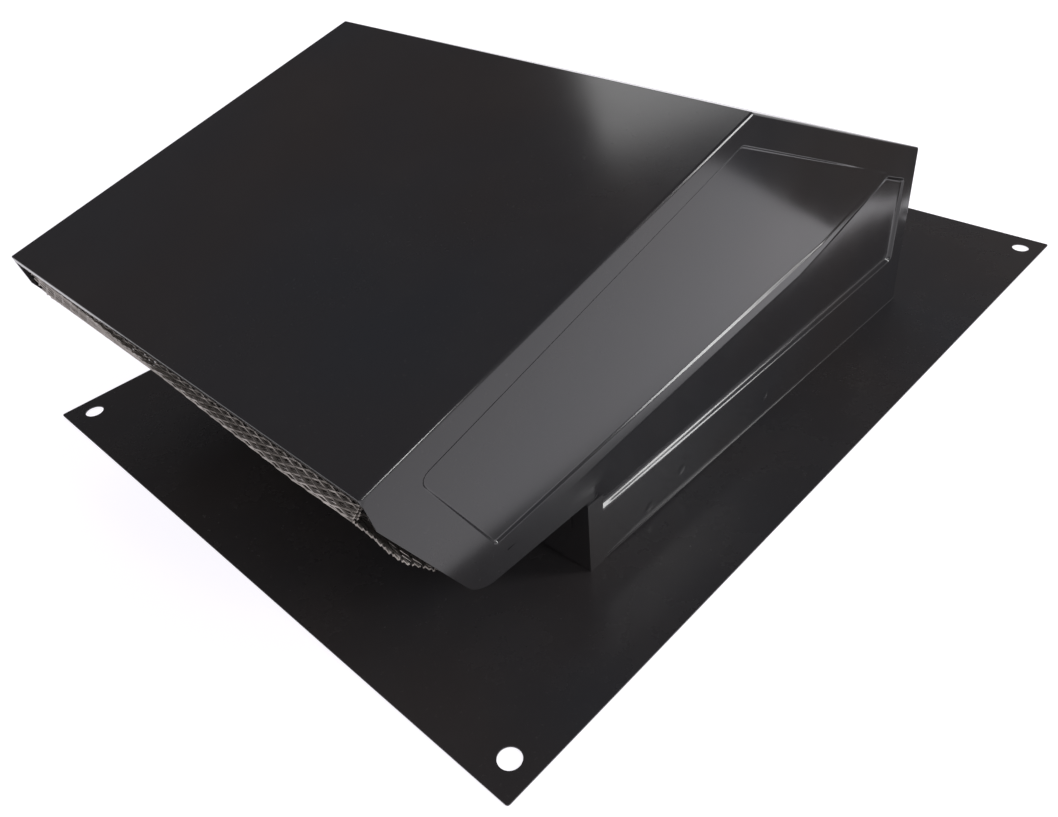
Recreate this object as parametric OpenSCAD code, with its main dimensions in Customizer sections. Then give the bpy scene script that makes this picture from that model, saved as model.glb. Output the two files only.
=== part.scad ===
// Roof vent cap: a black steel hood on a flat flashing plate, for a round duct that comes up through a roof.
// X runs across the roof slope, -Y runs down the slope to the hood's mouth, +Z is up off the roof.
// The origin is the middle of the four nail holes, on the plate's underside.

/* [Plate] */
// Width of the plate across the slope
plate_w = 248; // [240:1:270]
// Length of the plate up the slope
plate_d = 349; // [346:1:370]
// Thickness of the steel sheet
sheet = 0.6; // [0.5:0.05:0.8]
// Spacing of the nail holes across the slope
hole_gap_x = 231; // [215:1:231]
// Spacing of the nail holes up the slope
hole_gap_y = 330; // [310:1:330]
// Diameter of a nail hole
hole_d = 6.8; // [4:0.1:8]

/* [Duct collar] */
// Inside diameter of the collar that takes the duct
duct_bore = 102.6; // [77:0.2:104]
// Height of the collar's rim above the plate's underside
collar_h = 22; // [15:1:26]
// Width of the collar's flange on the plate
collar_flange = 8; // [5:0.5:10]
// How far the collar's centre lies up the slope from the plate's centre
duct_y = 4; // [0:1:8]

/* [Weld angles] */
// Height of the angles inside the walls that the hood is spot welded to
angle_h = 13; // [11:0.5:16]
// Width of an angle on the plate
angle_w = 10; // [8:0.5:14]
// Distance from either end of the standing part to an angle
angle_gap = 12; // [4:1:30]

/* [Hood] */
// Width of the hood over its side walls
hood_w = 181; // [179:1:186]
// Height of the front edge of the top
front_z = 82.2; // [80:0.2:84]
// Height of the ridge
ridge_z = 119; // [117:0.5:122]
// Y of the ridge
ridge_y = -29.8; // [-34:0.2:-26]
// Y of the top of the back wall
back_top_y = 90.5; // [89.5:0.5:92]
// Height of the back wall
back_z = 67.5; // [67:0.5:69]
// Y of the foot of the back wall
back_foot_y = 94.2; // [93:0.1:96]
// Y of the front of the part of the hood that stands on the plate
step_y = -103.7; // [-105:0.1:-102]
// Height of the underside of the overhang
step_z = 28.6; // [28.2:0.1:29.4]
// Straight stretch at the top of each side wall's front edge
lip_h = 6.8; // [6:0.2:8]
// Slope of the rest of that edge, in degrees below level
mouth_slope = 60; // [59:0.5:62]
// Rounding of the lowest point of that edge
chin_r = 6; // [4:0.5:8]
// Depth of the edge turned down along the front of the top
hem = 2.2; // [1.6:0.2:3]
// Radius of the bends at the ridge and at the top of the back wall
bend_r = 2; // [1.5:0.1:3]

/* [Pressed side panels] */
// Depth of the upper panel
upper_depth = 0.7; // [0.5:0.1:1.2]
// Depth of the lower panel along its bottom edge
lower_depth = 1.6; // [1.2:0.1:2.4]
// Width of the sloping edge round the upper panel
upper_edge = 1; // [0.8:0.1:1.4]
// Width of the sloping edge round the lower panel
lower_edge = 1.5; // [1.2:0.1:2]
// Rounding of the upper panel's front top corner
panel_r = 4; // [2:0.5:6]

/* [Front dam] */
// Height of the dam that closes the front of the standing part
dam_h = 28; // [26:0.2:28]
// Width of the flange that wraps round each side wall
dam_flange = 6; // [5:0.5:7]
// Depth of the hem turned down over the dam's face
dam_hem = 12.6; // [10:0.2:16]

/* [Bird screen] */
// Long way of a diamond, across the hood
diamond_w = 6; // [5.8:0.05:6]
// Number of diamonds across the flat of the screen
diamonds_across = 26; // [24:2:26]
// Width of a strand
strand = 0.8; // [0.6:0.1:1]
// Thickness of the screen
screen_t = 0.7; // [0.5:0.1:0.9]
// How far the flat of the screen stands out of the mouth
screen_proud = 1.4; // [0.8:0.2:2.4]
// How far the screen's side edges fall back from the flat
side_drop = 1.6; // [1:0.1:2.6]

/* [Hidden] */
$fn = 64;
black = [0.13, 0.12, 0.13];
zinc = [0.6, 0.57, 0.54];
front_y = -plate_d / 2;
half_w = hood_w / 2;
inner_w = half_w - sheet;
lip_z = front_z - lip_h;

// Corner b between a and c, rounded to radius r with n + 1 points
function unit(v) = v / norm(v);
function turn(d) = d > 180 ? d - 360 : d < -180 ? d + 360 : d;
function rounded(a, b, c, r, n) =
    let (
        u = unit(a - b),
        v = unit(c - b),
        half = acos(u * v) / 2,
        m = b + unit(u + v) * r / sin(half),
        p = b + u * r / tan(half) - m,
        q = b + v * r / tan(half) - m,
        start = atan2(p[1], p[0]),
        sweep = turn(atan2(q[1], q[0]) - start)
    )
    [for (k = [0 : n]) m + r * [cos(start + sweep * k / n), sin(start + sweep * k / n)]];

// The corner at b after the lines a-b and b-c have both moved t to their right
function right_of(a, b) = let (u = unit(b - a)) [u[1], -u[0]];
function inset(a, b, c, t) =
    let (m = right_of(a, b), n = right_of(b, c)) b + (m + n) * t / (1 + m * n);

// Corners of the hood from the side, as Y and Z
p_lip = [front_y, lip_z];
p_front = [front_y, front_z];
p_ridge = [ridge_y, ridge_z];
p_back = [back_top_y, back_z];
p_foot = [back_foot_y, sheet];
p_step = [step_y, step_z];
p_chin = [front_y + (lip_z - step_z) / tan(mouth_slope), step_z];
below_foot = p_foot + 3 * unit(p_foot - p_back);
side_outline = concat(
    [p_lip, p_front],
    rounded(p_front, p_ridge, p_back, bend_r, 3),
    rounded(p_ridge, p_back, p_foot, bend_r, 6),
    [p_foot, [step_y, sheet], p_step],
    rounded(p_step, p_chin, p_lip, chin_r, 6)
);

// The hollow of the hood from the side: it runs out of the mouth and the bottom
in_front = inset(p_lip, p_front, p_ridge, sheet);
in_ridge = inset(p_front, p_ridge, p_back, sheet);
in_back = inset(p_ridge, p_back, p_foot, sheet);
in_foot = inset(p_back, p_foot, below_foot, sheet) + below_foot - p_foot;
before_front = front_y - 10;
hollow_outline = concat(
    [[before_front, front_z - hem], [front_y + sheet, front_z - hem], in_front],
    rounded(in_front, in_ridge, in_back, bend_r - sheet, 3),
    rounded(in_ridge, in_back, in_foot, bend_r - sheet, 6),
    [in_foot, [before_front, in_foot[1]]]
);

// Each side wall has two panels pressed into it, and this is the rim of each, as Y, Z and the depth of the
// floor beside that corner. The upper one is even. The lower one deepens from its top edge to its bottom edge,
// and runs out to nothing at the front. A narrow band of the wall is left between the two.
faint = 0.06;
upper_front = [[-139.5, 40.4], [-159.6, 76.8], [-34.2, 111.4]];
upper_rim = [for (p = concat([[-34.2, 111.4], [65.8, 66.8], [21.4, 56.7], [-139.5, 40.4]],
    rounded(upper_front[0], upper_front[1], upper_front[2], panel_r, 4))) [p[0], p[1], upper_depth]];
upper_floor = [for (k = [1 : len(upper_rim) - 2]) [0, k, k + 1]];
lower_rim = [
    [68.4, 63.9, faint],
    [82.6, 58.2, lower_depth / 2],
    [83.8, 22.8, lower_depth * 0.8],
    [8, 21.6, lower_depth],
    [-103, 20.4, lower_depth],
    [-137, 20, faint],
    [-137, 33.6, faint],
    [8, 49.8, faint]
];
lower_floor = [[0, 1, 2], [0, 2, 7], [7, 2, 3], [7, 3, 4], [7, 4, 6], [6, 4, 5]];

function yz(p) = [p[0], p[1]];
function moved_rim(rim, t) =
    let (n = len(rim))
    [for (i = [0 : n - 1]) inset(yz(rim[(i + n - 1) % n]), yz(rim[i]), yz(rim[(i + 1) % n]), t)];

// The space that a panel's tool clears in a wall: edge is the width of the slope round the floor. For the
// wall's inner face the same space is made wider by grow and moved into the hood by push.
module press(rim, floor, edge, grow, push) {
    n = len(rim);
    outer = moved_rim(rim, -grow);
    inner = moved_rim(rim, edge - grow);
    face = half_w - push;
    points = concat(
        [for (p = outer) [half_w + 2, p[0], p[1]]],
        [for (p = outer) [face, p[0], p[1]]],
        [for (i = [0 : n - 1]) [face - rim[i][2], inner[i][0], inner[i][1]]]
    );
    sides = [for (ring = [0, 1], i = [0 : n - 1])
        let (a = ring * n + i, b = ring * n + (i + 1) % n)
            each [[a, a + n, b + n], [a, b + n, b]]];
    polyhedron(points, concat(
        [[for (i = [0 : n - 1]) i]],
        sides,
        [for (t = floor) [2 * n + t[0], 2 * n + t[2], 2 * n + t[1]]]
    ));
}

module both_sides() {
    children();
    mirror([1, 0, 0]) children();
}

module upper_press(grow, push) {
    both_sides() press(upper_rim, upper_floor, upper_edge, grow, push);
}

module lower_press(grow, push) {
    both_sides() press(lower_rim, lower_floor, lower_edge, grow, push);
}

module side_prism(outline, half) {
    rotate([90, 0, 90])
        translate([0, 0, -half])
            linear_extrude(height = 2 * half)
                polygon(outline);
}

module base_plate() {
    color(black)
        difference() {
            translate([-plate_w / 2, -plate_d / 2, 0])
                cube([plate_w, plate_d, sheet]);
            for (sx = [-1, 1], sy = [-1, 1])
                translate([sx * hole_gap_x / 2, sy * hole_gap_y / 2, -1])
                    cylinder(h = sheet + 2, d = hole_d);
            translate([0, duct_y, -1])
                cylinder(h = sheet + 2, d = duct_bore);
        }
}

module duct_collar() {
    color(black)
        translate([0, duct_y, sheet])
            difference() {
                union() {
                    cylinder(h = collar_h - sheet, d = duct_bore + 2 * sheet);
                    cylinder(h = sheet, d = duct_bore + 2 * collar_flange);
                }
                translate([0, 0, -1])
                    cylinder(h = collar_h + 2, d = duct_bore);
            }
}

module weld_angle(side) {
    start_y = step_y + angle_gap;
    run = back_foot_y - angle_gap - start_y;
    color(black)
        for (size = [[angle_w, run, sheet], [sheet, run, angle_h - sheet]])
            translate([side > 0 ? inner_w - size[0] : -inner_w, start_y, sheet])
                cube(size);
}

module weld_angle_left() {
    weld_angle(-1);
}

module weld_angle_right() {
    weld_angle(1);
}

module hood() {
    color(black)
        difference() {
            side_prism(side_outline, half_w);
            upper_press(0, 0);
            lower_press(0, 0);
            difference() {
                side_prism(hollow_outline, inner_w);
                upper_press(sheet / 2, sheet);
                lower_press(sheet / 2, sheet);
            }
        }
}

module front_dam() {
    face_y = step_y - sheet;
    color(black) {
        translate([-half_w - sheet, face_y, sheet])
            cube([hood_w + 2 * sheet, sheet, dam_h - sheet]);
        both_sides()
            translate([half_w, face_y, sheet])
                cube([sheet, dam_flange + sheet, dam_h - sheet]);
        translate([dam_flange - half_w, face_y - sheet, dam_h - dam_hem])
            cube([hood_w - 2 * dam_flange, sheet, dam_hem]);
    }
}

// A point of the screen from the side: so far down the mouth's slope from the lip, and so far out from it
function on_mouth(down, out) =
    p_lip + down * [cos(mouth_slope), -sin(mouth_slope)] - out * [sin(mouth_slope), cos(mouth_slope)];
screen_hem = [front_y + 1.2, front_z - hem - 0.4];
screen_brow = on_mouth(-2, screen_proud);
screen_bend = on_mouth(34.5, screen_proud);
screen_dam = [step_y - sheet - 0.8, dam_h + 0.8];
front_rows = 9;
under_rows = 13;
flat_end = diamonds_across / 2;
side_n = 2;
under_end = flat_end + 1.5;

// A flat piece of expanded metal: from and to count diamonds across, and row is a diamond's short way
module expanded(from, to, row, rows) {
    k = 1 - strand * norm([diamond_w, row]) / (diamond_w * row);
    translate([0, 0, -screen_t / 2])
        linear_extrude(height = screen_t)
            difference() {
                translate([from * diamond_w, 0])
                    square([(to - from) * diamond_w, rows * row]);
                for (i = [2 * from : 2 * to], j = [0 : 2 * rows])
                    if ((i + j) % 2 == 0)
                        translate([i * diamond_w / 2, j * row / 2])
                            polygon(k / 2 * [[diamond_w, 0], [0, row], [-diamond_w, 0], [0, -row]]);
            }
}

// Children drawn along X and Y are laid on the slope from a to b
module on_slope(a, b) {
    translate([0, a[0], a[1]])
        rotate([atan2(b[1] - a[1], b[0] - a[0]), 0, 0])
            children();
}

module sloping_screen(from, to, a, b, rows) {
    color(zinc)
        on_slope(a, b)
            expanded(from, to, norm(b - a) / rows, rows);
}

module side_screen(side) {
    row = norm(screen_bend - screen_brow) / front_rows;
    color(zinc)
        on_slope(screen_brow, screen_bend)
            translate([side * flat_end * diamond_w, 0, 0])
                rotate([0, -side * asin(side_drop / side_n / diamond_w), 0])
                    expanded(min(0, side * side_n), max(0, side * side_n), row, front_rows);
}

module screen_top_strip() {
    sloping_screen(-flat_end, flat_end, screen_hem, screen_brow, 1);
}

module screen_front_left() {
    sloping_screen(-flat_end, 0, screen_brow, screen_bend, front_rows);
}

module screen_front_right() {
    sloping_screen(0, flat_end, screen_brow, screen_bend, front_rows);
}

module screen_side_left() {
    side_screen(-1);
}

module screen_side_right() {
    side_screen(1);
}

module screen_under_left() {
    sloping_screen(-under_end, 0, screen_bend, screen_dam, under_rows);
}

module screen_under_right() {
    sloping_screen(0, under_end, screen_bend, screen_dam, under_rows);
}

base_plate();
duct_collar();
weld_angle_left();
weld_angle_right();
hood();
front_dam();
screen_top_strip();
screen_front_left();
screen_front_right();
screen_side_left();
screen_side_right();
screen_under_left();
screen_under_right();
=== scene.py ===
"""A black steel roof vent cap: flashing plate, duct collar, hood, front dam and bird screen."""
import math

import bmesh
import bpy
from mathutils import Matrix, Vector


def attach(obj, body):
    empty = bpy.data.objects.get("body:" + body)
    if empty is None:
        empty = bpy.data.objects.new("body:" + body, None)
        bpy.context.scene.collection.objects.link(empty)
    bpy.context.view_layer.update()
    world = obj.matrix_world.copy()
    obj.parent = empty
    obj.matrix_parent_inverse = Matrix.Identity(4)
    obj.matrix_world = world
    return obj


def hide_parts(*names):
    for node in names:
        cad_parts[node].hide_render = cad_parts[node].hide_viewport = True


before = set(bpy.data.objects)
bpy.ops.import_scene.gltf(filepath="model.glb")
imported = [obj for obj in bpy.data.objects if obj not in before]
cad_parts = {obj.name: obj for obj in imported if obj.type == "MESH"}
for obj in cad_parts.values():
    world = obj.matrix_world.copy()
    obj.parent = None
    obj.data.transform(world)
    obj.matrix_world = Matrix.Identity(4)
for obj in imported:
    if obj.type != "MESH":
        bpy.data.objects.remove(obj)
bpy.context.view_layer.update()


# Black enamel on the steel. It was sprayed and baked, so it has a slight orange peel over a sheet that is
# not quite flat, and it has picked up dust and wiping marks since. Its few hairline scratches are not drawn.
def node(tree, kind, **inputs):
    """A new node, whose inputs are set by name or as i0, i1, from values or from other nodes' sockets."""
    made = tree.nodes.new(kind)
    for name, value in inputs.items():
        known = name[1:].isdigit()
        socket = made.inputs[int(name[1:])] if known else made.inputs[name.replace("_", " ")]
        if isinstance(value, bpy.types.NodeSocket):
            tree.links.new(value, socket)
        else:
            socket.default_value = value
    return made


def maths(tree, operation, first, second):
    made = node(tree, "ShaderNodeMath", i0=first, i1=second)
    made.operation = operation
    return made.outputs[0]


def noise(tree, place, scale, detail=2.0, roughness=0.5):
    return node(tree, "ShaderNodeTexNoise", Vector=place, Scale=scale, Detail=detail,
                Roughness=roughness).outputs[0]


def between(tree, value, low, high, to_low=0.0, to_high=1.0):
    return node(tree, "ShaderNodeMapRange", Value=value, From_Min=low, From_Max=high,
                To_Min=to_low, To_Max=to_high).outputs[0]


def mixed(tree, share, first, second, blend="MIX"):
    made = node(tree, "ShaderNodeMixRGB", Fac=share, Color1=first, Color2=second)
    made.blend_type = blend
    return made.outputs[0]


def marks_group(name, inputs, outputs):
    """An empty node group with those inputs and outputs, and its input node."""
    group = bpy.data.node_groups.new(name, "ShaderNodeTree")
    for label, kind, value in inputs:
        group.interface.new_socket(label, in_out="INPUT", socket_type=kind).default_value = value
    for label, kind in outputs:
        group.interface.new_socket(label, in_out="OUTPUT", socket_type=kind)
    return group, node(group, "NodeGroupInput")


enamel, given = marks_group(
    "enamel_marks",
    [("Tint", "NodeSocketColor", (0.024, 0.023, 0.024, 1)), ("Dust", "NodeSocketFloat", 1.0),
     ("Gloss", "NodeSocketFloat", 0.12)],
    [("Color", "NodeSocketColor"), ("Roughness", "NodeSocketFloat"), ("Height", "NodeSocketFloat")])
spot = node(enamel, "ShaderNodeTexCoord").outputs["Object"]
cast = mixed(enamel, noise(enamel, spot, 9, 3), (1.3, 1.0, 0.8, 1), (0.75, 1.0, 1.25, 1))
tinted = mixed(enamel, 1.0, given.outputs["Tint"], cast, "MULTIPLY")
specks = between(enamel, noise(enamel, spot, 900), 0.66, 0.74, 0, 0.014)
smears = noise(enamel, spot, 28, 6, 0.65)
film = between(enamel, smears, 0.45, 0.75, 0, 0.006)
dusty = maths(enamel, "MULTIPLY", maths(enamel, "ADD", specks, film), given.outputs["Dust"])
coloured = mixed(enamel, dusty, tinted, (0.5, 0.47, 0.44, 1))
rough = maths(enamel, "ADD", between(enamel, smears, 0.3, 0.8, 0, 0.05), given.outputs["Gloss"])
peel = noise(enamel, spot, 700)
swell = maths(enamel, "MULTIPLY", noise(enamel, spot, 14, 1), 12.0)
node(enamel, "NodeGroupOutput", Color=coloured, Roughness=rough, Height=maths(enamel, "ADD", peel, swell))


def black_enamel(name, tint=(0.024, 0.023, 0.024, 1), dust=1.0, gloss=0.12):
    material = bpy.data.materials.new(name)
    material.use_nodes = True
    tree = material.node_tree
    shader = tree.nodes["Principled BSDF"]
    marks = node(tree, "ShaderNodeGroup")
    marks.node_tree = enamel
    marks.inputs["Tint"].default_value = tint
    marks.inputs["Dust"].default_value = dust
    marks.inputs["Gloss"].default_value = gloss
    bump = node(tree, "ShaderNodeBump", Strength=0.06, Distance=0.00003, Height=marks.outputs["Height"])
    tree.links.new(marks.outputs["Color"], shader.inputs["Base Color"])
    tree.links.new(marks.outputs["Roughness"], shader.inputs["Roughness"])
    tree.links.new(bump.outputs[0], shader.inputs["Normal"])
    return material


# Flashing plate: one flat sheet that lies on the roof, with a nail hole near each corner and a round opening
# for the duct. It is sheared from 0.6 mm steel and its corners are just off sharp.
plate_w = 248
plate_d = 349
sheet = 0.6
hole_x = 231 / 2
hole_y = 330 / 2
hole_r = 3.4
duct_y = 4
duct_r = 51.3
MM = 0.001


def ring(bm, centre, radius, segments):
    bmesh.ops.create_circle(bm, segments=segments, radius=radius, matrix=Matrix.Translation(centre))


def finished(name, bm, material):
    """The millimetre mesh as an object in metres, with that material."""
    bmesh.ops.scale(bm, verts=bm.verts, vec=(MM, MM, MM))
    made = bpy.data.objects.new(name, bpy.data.meshes.new(name))
    bm.to_mesh(made.data)
    bm.free()
    made.data.materials.append(material)
    bpy.context.scene.collection.objects.link(made)
    return made


def modifier(made, kind, **values):
    added = made.modifiers.new(kind.lower(), kind)
    for name, value in values.items():
        setattr(added, name, value)


bm = bmesh.new()
turns = ((-1, -1), (1, -1), (1, 1), (-1, 1))
rim = [bm.verts.new((sx * plate_w / 2, sy * plate_d / 2, 0)) for sx, sy in turns]
for pair in zip(rim, rim[1:] + rim[:1]):
    bm.edges.new(pair)
bmesh.ops.bevel(bm, geom=list(bm.verts), offset=0.9, segments=3, profile=0.5, affect="VERTICES", material=-1)
for sx, sy in turns:
    ring(bm, (sx * hole_x, sy * hole_y, 0), hole_r, 40)
ring(bm, (0, duct_y, 0), duct_r, 96)
bmesh.ops.triangle_fill(bm, edges=list(bm.edges), use_beauty=True, normal=(0, 0, 1))
bmesh.ops.translate(bm, verts=bm.verts, vec=(0, 0, sheet))
plate = finished("flashing_plate", bm, black_enamel("plate_enamel", dust=1.3, gloss=0.25))
modifier(plate, "SOLIDIFY", thickness=sheet * MM, offset=-1)
modifier(plate, "BEVEL", width=0.12 * MM, segments=2, limit_method="ANGLE", angle_limit=math.radians(60))
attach(plate, "root")
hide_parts("base_plate")


# Duct collar: a spun ring whose flange is spot welded on the plate round the opening. The duct slides up
# into it from below. It stands inside the hood, and its bend into the flange is rounded just off sharp.
collar_h = 22
collar_flange = 8

bm = bmesh.new()
profile = [(duct_r + collar_flange, sheet + 0.6), (duct_r + 0.6, sheet + 0.6), (duct_r + 0.6, collar_h)]
verts = [bm.verts.new((r, 0, z)) for r, z in profile]
for pair in zip(verts, verts[1:]):
    bm.edges.new(pair)
bmesh.ops.bevel(bm, geom=[verts[1]], offset=1, segments=4, profile=0.5, affect="VERTICES", material=-1)
bmesh.ops.spin(bm, geom=list(bm.edges) + list(bm.verts), axis=(0, 0, 1), angle=math.tau, steps=96,
               use_merge=True)
bmesh.ops.remove_doubles(bm, verts=bm.verts, dist=0.01)
bmesh.ops.translate(bm, verts=bm.verts, vec=(0, duct_y, 0))
bmesh.ops.recalc_face_normals(bm, faces=bm.faces)
if sum(face.normal.z for face in bm.faces) < 0:
    bmesh.ops.reverse_faces(bm, faces=bm.faces)
for face in bm.faces:
    face.smooth = True
collar = finished("duct_collar_ring", bm, black_enamel("collar_enamel", dust=1.2, gloss=0.2))
modifier(collar, "SOLIDIFY", thickness=sheet * MM, offset=-1, use_even_offset=True)
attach(collar, "root")
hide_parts("duct_collar")


# Weld angles: a bent strip along the foot of each side wall, inside. It is spot welded to the plate and to
# the wall. They keep the solids' own shape.
angle_enamel = black_enamel("angle_enamel", dust=1.2, gloss=0.2)
for name in ("weld_angle_left", "weld_angle_right"):
    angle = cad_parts[name]
    angle.data.materials.clear()
    angle.data.materials.append(angle_enamel)


# Hood: one blank of the same sheet, folded over at the ridge, at the top of the back and along both side
# walls, with a narrow hem at the front. Each side wall is pressed in twice before it is folded down: an even
# upper panel, and below it one that deepens towards a sharp bead near the foot.
half_w = 90.5
front_y = -174.5
p_lip = (-172, 71.2)
p_hem = (front_y + 0.6, 80.0)
p_front = (front_y, 82.2)
p_ridge = (-29.8, 118.93)
p_back = (90.5, 67.5)
p_foot = (94.2, 0.6)
p_step_foot = (-103.7, 0.6)
p_step = (-103.7, 28.6)
p_chin = (-147.48, 28.6)
side_fold_r = 1
ridge_r = 0.3
front_fold_r = 0.4
chin_r = 6
upper_rim = [(-34.2, 111.4), (65.8, 66.8), (21.4, 56.7), (-139.5, 40.4), (-159.6, 76.8)]
upper_corner_r = [1.2, 2, 0, 1.2, 4]
lower_rim = [(66.5, 65.2), (82.6, 58.2), (83.8, 22.8), (8, 21.6), (-100.2, 20.4), (-101.5, 30.5),
             (-137, 34.5), (-137, 37), (8, 52)]
lower_corner_r = [1.2, 1.5, 2.5, 0, 0.8, 1.5, 0, 0, 0]
upper_depth = 0.7
lower_depth = 1.6
weld_spots = [(-74.4, 5.1), (-57.4, 9.0), (-7.5, 9.3)]


def along(points, y):
    """Height at y of a line through those points, which run in either direction of y."""
    points = sorted(points)
    for (y0, z0), (y1, z1) in zip(points, points[1:]):
        if y <= y1:
            break
    return z0 + (z1 - z0) * (y - y0) / (y1 - y0)


def eased(t):
    t = min(max(t, 0), 1)
    return t * t * (3 - 2 * t)


def upper_press(y, z):
    """Depth of the upper panel: faint along its top edge, and faint again in its rear corner."""
    top = along([upper_rim[4], upper_rim[0], upper_rim[1]], y)
    bottom = along([upper_rim[3], upper_rim[2], upper_rim[1]], y)
    share = (top - z) / max(top - bottom, 1)
    rearward = (y - 7 + 12 * eased(share)) / 47
    return upper_depth * (0.55 + 0.45 * eased(share)) * (1 - 0.8 * eased(rearward))


def lower_press(y, z):
    """Depth of the lower panel: nothing along its top edge, and full along the bead and the rear edge."""
    top = along([lower_rim[7], lower_rim[8], lower_rim[0], lower_rim[1]], y)
    bottom = along([(-137, 20.2), lower_rim[3], lower_rim[2]], y)
    share = min(max((top - z) / (top - bottom), 0), 1)
    spread = 0.4 * eased((y - 20) / 60)
    over_step = eased((-95 - y) / 7) * (1 - eased((z - along([lower_rim[5], lower_rim[6]], y)) / 7))
    front_slope = eased((y + 112) / 16)
    rear_slope = 0.6 + 0.4 * eased((83.8 - y) / 3.5)
    return lower_depth * (1 - (1 - share) * (1 - spread)) * front_slope * rear_slope * (1 - over_step)


def weld_dent(y, z):
    return 0.12


def pressed(bm, face, edge_width, rings, depth, front, rear):
    """Presses the face inwards: rings of sheet bend down from its rim, over edge_width, to its floor. They
    are cut upright every 4 mm, and along lines that fan from the front line to the rear line."""
    pieces = [face]
    for step in range(1, rings + 1):
        t = (step / rings) ** 0.75
        pieces += bmesh.ops.inset_individual(bm, faces=[face], thickness=edge_width / rings, depth=0)["faces"]
        for vert in face.verts:
            vert[press] = t ** 2.2 / (t ** 2.2 + (1 - t) ** 2.2)
    cuts = [(Vector((0, y, 0)), Vector((0, 1, 0))) for y in range(-156, 88, 4)]
    for n in range(1, 16):
        start = Vector((0, *front[0])).lerp(Vector((0, *front[1])), n / 16)
        end = Vector((0, *rear[0])).lerp(Vector((0, *rear[1])), n / 16)
        cuts.append((start, (end - start).cross(Vector((1, 0, 0)))))
    for place, across in cuts:
        parts = {part for piece in pieces for part in (*piece.verts, *piece.edges)} | set(pieces)
        cut = bmesh.ops.bisect_plane(bm, geom=list(parts), dist=0.001, plane_co=place, plane_no=across)
        pieces = [part for part in cut["geom"] if isinstance(part, bmesh.types.BMFace)]
    for vert in {vert for piece in pieces for vert in piece.verts}:
        vert.co.x -= vert[press] * depth(vert.co.y, vert.co.z)


def panel_face(bm, rim, corner_r):
    """A flat face in the wall's plane, with its corners rounded."""
    earlier = set(bm.faces)
    verts = [bm.verts.new((half_w, y, z)) for y, z in rim]
    face = bm.faces.new(verts)
    face.normal_update()
    if face.normal.x < 0:
        face.normal_flip()
    for vert, radius in zip(verts, corner_r):
        if radius:
            bmesh.ops.bevel(bm, geom=[vert], offset=radius, segments=5, profile=0.5, affect="VERTICES",
                            material=-1)
    return max((face for face in bm.faces if face not in earlier), key=lambda face: face.calc_area())


# The folded blank first: the wall's face and, from its edges, half of the top, the back and the front hem.
bm = bmesh.new()
press = bm.verts.layers.float.new("press")
outline = [p_lip, p_hem, p_front, p_ridge, p_back, p_foot, p_step_foot, p_step, p_chin]
verts = [bm.verts.new((half_w, y, z)) for y, z in outline]
wall = bm.faces.new(verts)
wall.normal_update()
if wall.normal.x < 0:
    wall.normal_flip()
folded = [bm.edges.get(pair) for pair in zip(verts[1:5], verts[2:6])]
made = bmesh.ops.extrude_edge_only(bm, edges=folded)["geom"]
middle = [v for v in made if isinstance(v, bmesh.types.BMVert)]
bmesh.ops.translate(bm, verts=middle, vec=(-half_w, 0, 0))
bmesh.ops.recalc_face_normals(bm, faces=bm.faces)
side_folds = [e for e in bm.edges if len(e.link_faces) == 2 and all(v.co.x > 1 for v in e.verts)]
bmesh.ops.bevel(bm, geom=side_folds, offset=side_fold_r, segments=4, profile=0.5, affect="EDGES", material=-1)
for corners, radius in (((p_ridge, p_back), ridge_r), ((p_front,), front_fold_r)):
    creases = [e for e in bm.edges if len(e.link_faces) == 2
               and any(all((v.co.yz - Vector(p)).length < 2 for v in e.verts) for p in corners)]
    bmesh.ops.bevel(bm, geom=creases, offset=radius, segments=4, profile=0.5, affect="EDGES", material=-1)
chin = min((v for v in bm.verts if v.co.x > half_w - 0.01), key=lambda v: (v.co.yz - Vector(p_chin)).length)
bmesh.ops.bevel(bm, geom=[chin], offset=chin_r, segments=6, profile=0.5, affect="VERTICES", material=-1)
wall = max(bm.faces, key=lambda f: f.calc_area() if f.normal.x > 0.99 else 0)
wall_rim = list(wall.edges)
bmesh.ops.delete(bm, geom=[wall], context="FACES_ONLY")

# Then the pressed panels and the weld dents, and the flat of the wall between them.
presses = [(panel_face(bm, upper_rim, upper_corner_r), 1.1, 8, upper_press, (upper_rim[3], upper_rim[4]),
            (upper_rim[2], upper_rim[0])),
           (panel_face(bm, lower_rim, lower_corner_r), 2.1, 14, lower_press, ((-137, 20.2), lower_rim[7]),
            (lower_rim[3], lower_rim[8]))]
across = Matrix.Rotation(math.pi / 2, 4, "Y")
for y, z in weld_spots:
    at = Matrix.Translation((half_w, y, z)) @ across
    made = bmesh.ops.create_circle(bm, cap_ends=True, segments=16, radius=2.2, matrix=at)
    presses.append((made["verts"][0].link_faces[0], 1.6, 3, weld_dent, ((0, 0), (0, 0)), ((9, 0), (9, 0))))
holes = [edge for face, *rest in presses for edge in face.edges]
bmesh.ops.triangle_fill(bm, edges=wall_rim + holes, use_beauty=True, normal=(1, 0, 0))
for face, *how in presses:
    pressed(bm, face, *how)
bm.verts.layers.float.remove(press)

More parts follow.
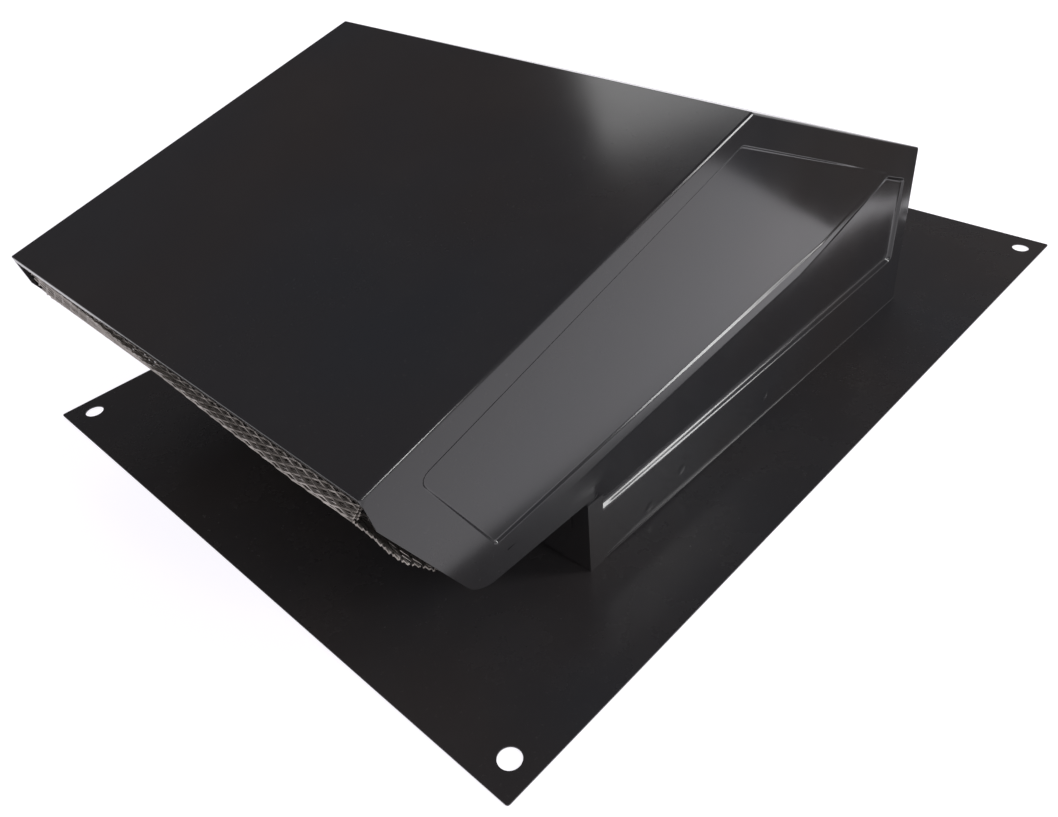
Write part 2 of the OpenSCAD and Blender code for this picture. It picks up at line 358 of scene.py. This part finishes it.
# The foot of the side wall is spread a hair where it was sheared, which shows as a thin bright line.
bmesh.ops.bisect_plane(bm, geom=list(bm.verts) + list(bm.edges) + list(bm.faces), plane_co=(0, 0, 1.1),
                       plane_no=(0, 0, 1))
for vert in bm.verts:
    if vert.co.z < 0.7 and vert.co.x > half_w - 0.1:
        vert.co.x += 0.3
bmesh.ops.mirror(bm, geom=list(bm.verts) + list(bm.edges) + list(bm.faces), axis="X", merge_dist=0.01)
bmesh.ops.remove_doubles(bm, verts=bm.verts, dist=0.005)
bmesh.ops.recalc_face_normals(bm, faces=bm.faces)
top = max(bm.faces, key=lambda f: f.calc_area() if abs(f.normal.x) < 0.1 else 0)
if top.normal.z < 0:
    bmesh.ops.reverse_faces(bm, faces=bm.faces)
for face in bm.faces:
    face.smooth = True
hood = finished("hood_shell", bm, black_enamel("hood_enamel"))
modifier(hood, "SOLIDIFY", thickness=sheet * MM, offset=-1)
modifier(hood, "EDGE_SPLIT", split_angle=math.radians(50))
modifier(hood, "WEIGHTED_NORMAL", keep_sharp=True)
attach(hood, "root")
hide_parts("hood")


# Front dam: a low strip that closes the front of the standing part. Its ends wrap round the side walls and
# its top edge is folded down over its face as a hem.
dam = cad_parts["front_dam"]
dam.data.materials.clear()
dam.data.materials.append(black_enamel("dam_enamel"))


# Bird screen: expanded steel, cut to the mouth. Its top edge is folded double and tucked up behind the front
# hem. It runs down across the mouth and back to the dam, and its cut right edge springs out a little.
cell_w = 6
open_rows = 22
closed_rows = 6
strand = 0.8
screen_half_w = 88.8
screen_bends = [Vector(p) for p in ((-175.9, 75.5), (-172.7, 78.9), (-173.3, 79.6), (-176.71, 76.43),
                                    (-158.46, 44.82), (-105.1, 28.8))]
legs = [(b - a).length for a, b in zip(screen_bends, screen_bends[1:])]
fold_length = sum(legs[:3])
cell_h = sum(legs[3:]) / open_rows


def row_place(row):
    """How far down its profile a row of cells lies. The rows in the fold are stretched nearly shut."""
    if row < closed_rows:
        return fold_length * row / closed_rows
    return fold_length + (row - closed_rows) * cell_h


def folded_line(s):
    """Point at s millimetres down the screen's profile, with its bends sharp."""
    s = min(max(s, 0), sum(legs) - 0.01)
    for a, b, length in zip(screen_bends, screen_bends[1:], legs):
        if s <= length:
            break
        s -= length
    return a.lerp(b, s / length)


def sprung(x, s):
    """How far the screen stands out from its folded line: pushed in at the left, sprung out at the right."""
    below = s - fold_length
    deeper = eased(below / 14)
    out = along([(-89, -3.2), (-35, -1.5), (0, -0.3), (36, 0.7), (65, 1.4), (77, 1.2), (89, 1)], x)
    out = out * (1 - deeper) + 0.1 * deeper
    curl = [(0, 1), (11, 1.6), (17, 2.2), (22, 2.3), (25, 2.1), (29, 1.2), (33, 0.3), (40, -0.5)]
    out += (along(curl, min(below, 40)) - 0.1) * deeper * max((x - 67) / 22, 0) ** 1.5
    out -= 1.44 - 0.83 * below / legs[3]
    hem = eased((s - sum(legs[:2])) / legs[2]) if s > legs[0] else 1 - s / legs[0]
    return out * hem * (1 - eased((below - 34) / 12))


bm = bmesh.new()
cells = 60
rows = closed_rows + open_rows
bmesh.ops.create_grid(bm, x_segments=cells, y_segments=cells, size=cells / 2)
bmesh.ops.rotate(bm, verts=bm.verts, matrix=Matrix.Rotation(math.pi / 4, 3, "Z"))
bmesh.ops.scale(bm, verts=bm.verts, vec=(cell_w / math.sqrt(2), 1 / math.sqrt(2), 1))
bmesh.ops.translate(bm, verts=bm.verts, vec=(0, rows / 2 + 0.25, 0))
middles = {face: face.calc_center_median() for face in bm.faces}
spare = [face for face, (x, row, z) in middles.items() if abs(x) > 91 or not -0.5 < row < rows + 0.5]
bmesh.ops.delete(bm, geom=spare, context="FACES")
for vert in bm.verts:
    vert.co.y = row_place(vert.co.y)
bmesh.ops.wireframe(bm, faces=bm.faces, thickness=strand, use_replace=True, use_boundary=True,
                    use_even_offset=True)
for place, side in (((screen_half_w, 0, 0), (1, 0, 0)), ((-screen_half_w, 0, 0), (-1, 0, 0)),
                    ((0, 0.3, 0), (0, -1, 0)), ((0, sum(legs) - 0.3, 0), (0, 1, 0))):
    cut = bmesh.ops.bisect_plane(bm, geom=list(bm.verts) + list(bm.edges) + list(bm.faces), plane_co=place,
                                 plane_no=side, clear_outer=True)
    ends = [part for part in cut["geom_cut"] if isinstance(part, bmesh.types.BMEdge)]
    bmesh.ops.edgenet_fill(bm, edges=ends)
for vert in bm.verts:
    x, s, n = vert.co
    n = 0.85 * n + 0.25 * math.sin(math.tau * s / cell_h) * math.cos(math.tau * x / cell_w)
    near = [folded_line(s + step) for step in (-1, -0.5, 0, 0.5, 1)]
    centre = sum(near, Vector((0, 0))) / len(near)
    down = (near[-1] - near[0]).normalized()
    y, z = centre + Vector((down.y, -down.x)) * n + Vector((-0.87, -0.5)) * sprung(x, s)
    vert.co = (x, y, z)
bmesh.ops.recalc_face_normals(bm, faces=bm.faces)

bare_steel = bpy.data.materials.new("bare_steel")
bare_steel.use_nodes = True
tree = bare_steel.node_tree
shader = tree.nodes["Principled BSDF"]
place = node(tree, "ShaderNodeTexCoord").outputs["Object"]
dull = between(tree, noise(tree, place, 120, 4, 0.6), 0.35, 0.65)
oxide = mixed(tree, dull, (0.42, 0.385, 0.36, 1), (0.27, 0.245, 0.225, 1))
tree.links.new(oxide, shader.inputs["Base Color"])
tree.links.new(between(tree, dull, 0, 1, 0.42, 0.6), shader.inputs["Roughness"])
shader.inputs["Metallic"].default_value = 0.75
screen = finished("bird_screen", bm, bare_steel)
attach(screen, "root")
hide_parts(*[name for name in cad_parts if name.startswith("screen_")])


# Camera: in front of the cap and to its right, well above it.
camera = bpy.data.objects.new("camera", bpy.data.cameras.new("camera"))
camera.data.sensor_width = 36
camera.data.lens = 31.21
camera.data.clip_start = 0.01
camera.location = Vector((218.58, -244.80, 212.17)) * MM
camera.rotation_euler = [math.radians(a) for a in (52.083, 4.199, 43.242)]
bpy.context.scene.collection.objects.link(camera)
bpy.context.scene.camera = camera
bpy.context.scene.view_settings.view_transform = "Standard"


# Studio: a wide white table in a room that is white low down and dim overhead, with three lamps. The table
# and the low part of the room are plain white wherever the camera or a glossy surface looks at them.
def looked_at(tree):
    """1 where a camera, glossy or transmission ray arrives, and 0 for light that falls on things."""
    path = node(tree, "ShaderNodeLightPath").outputs
    sharp = maths(tree, "MAXIMUM", path["Is Camera Ray"], path["Is Glossy Ray"])
    return maths(tree, "MAXIMUM", sharp, path["Is Transmission Ray"])


white_table = bpy.data.materials.new("white_table")
white_table.use_nodes = True
tree = white_table.node_tree
tree.nodes.clear()
seen = looked_at(tree)
plain = node(tree, "ShaderNodeEmission", Color=(0.84, 0.82, 0.87, 1), Strength=seen)
lit = node(tree, "ShaderNodeBsdfDiffuse", Color=(0.35, 0.35, 0.35, 1))
both = node(tree, "ShaderNodeAddShader", i0=plain.outputs[0], i1=lit.outputs[0])
node(tree, "ShaderNodeOutputMaterial", Surface=both.outputs[0])

bm = bmesh.new()
bmesh.ops.create_grid(bm, x_segments=1, y_segments=1, size=12 / MM)
bmesh.ops.translate(bm, verts=bm.verts, vec=(0, 0, -0.1))
floor = finished("table", bm, white_table)

world = bpy.data.worlds.new("room")
bpy.context.scene.world = world
world.use_nodes = True
tree = world.node_tree
tree.nodes.clear()
seen = looked_at(tree)
by_camera = node(tree, "ShaderNodeLightPath").outputs["Is Camera Ray"]
height = node(tree, "ShaderNodeSeparateXYZ", Vector=node(tree, "ShaderNodeTexCoord").outputs["Generated"])
low = between(tree, height.outputs["Z"], 0.1, 0.2, 1, 0)
white = maths(tree, "MULTIPLY", maths(tree, "MAXIMUM", low, by_camera), seen)
dim = mixed(tree, seen, (0.6, 0.59, 0.6, 1), (0.055, 0.052, 0.055, 1))
sky = mixed(tree, white, dim, (1, 1, 1, 1))
node(tree, "ShaderNodeOutputWorld", Surface=node(tree, "ShaderNodeBackground", Color=sky).outputs[0])


def softbox(name, toward, distance, width, height, power):
    """An upright lamp at that distance from the cap in the given direction, facing the cap."""
    lamp = bpy.data.objects.new(name, bpy.data.lights.new(name, "AREA"))
    lamp.data.shape = "RECTANGLE"
    lamp.data.size = width
    lamp.data.size_y = height
    lamp.data.energy = power
    lamp.location = Vector(toward).normalized() * distance
    lamp.rotation_euler = Vector(toward).to_track_quat("Z", "Y").to_euler()
    bpy.context.scene.collection.objects.link(lamp)


softbox("key_right", (0.69, 0.56, 0.45), 1.3, 0.25, 0.7, 8)
softbox("soft_back", (-0.467, 0.57, 0.676), 1.56, 0.55, 0.33, 1.15)
softbox("fill_front", (0.8, 0, 0.55), 1.4, 0.12, 0.5, 3)

# A dark brown cloth lies on the table behind the cap, out of the picture, and shows in the wall's rear half.
bm = bmesh.new()
corners = ((143.5, 132.5), (1500, 720), (1500, 2000), (-5, 2000), (-5, 560), (128.5, 176))
bm.faces.new([bm.verts.new((x, y, 0.5)) for x, y in corners])
cloth = finished("brown_cloth", bm, bpy.data.materials.new("brown_cloth"))
cloth.data.materials[0].use_nodes = True
tree = cloth.data.materials[0].node_tree
weave = noise(tree, node(tree, "ShaderNodeTexCoord").outputs["Object"], 60, 3)
shader = tree.nodes["Principled BSDF"]
brown = mixed(tree, weave, (0.018, 0.013, 0.008, 1), (0.03, 0.022, 0.014, 1))
tree.links.new(brown, shader.inputs["Base Color"])
shader.inputs["Roughness"].default_value = 0.9
